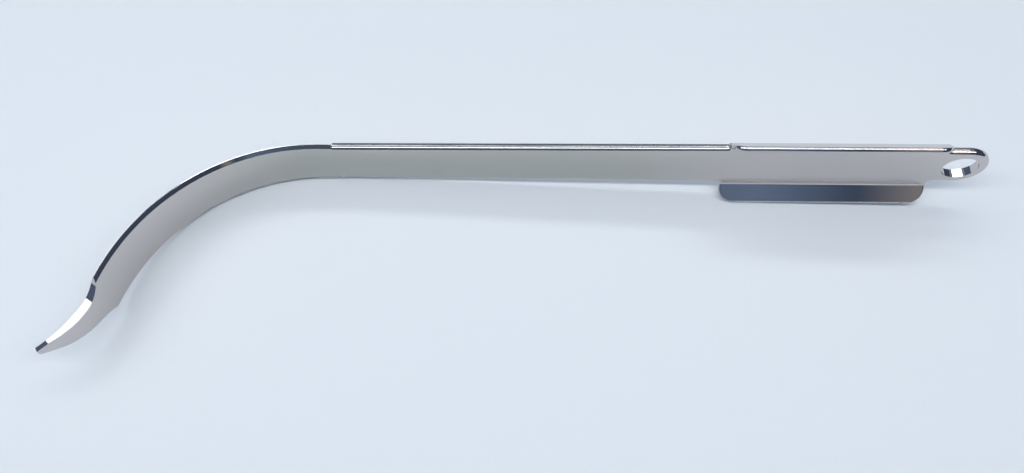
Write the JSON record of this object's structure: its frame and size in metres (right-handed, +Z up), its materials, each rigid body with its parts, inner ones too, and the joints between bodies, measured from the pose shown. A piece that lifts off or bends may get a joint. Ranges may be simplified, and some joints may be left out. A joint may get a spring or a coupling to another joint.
{
  "type": "handheld surgical retractor",
  "caption": "One-piece bone-lever retractor: a curved blade with a narrow back-bent toe, a flat shank, a trough-shaped handle and an eyelet with a finger hole.",
  "frame": {"origin": "centre of the finger hole, midway through the eyelet's thickness", "axes": "+Z up with the tool lying at rest on its lower long edges; the shank runs along X with the toe towards -X; the hollow side faces -Y"},
  "size_m": [0.2569, 0.0616, 0.0315],
  "materials": {
    "steel": "satin stainless steel, finely brushed along the tool"
  },
  "bodies": {
    "root": {"retractor": "steel"}
  },
  "joints": []
}
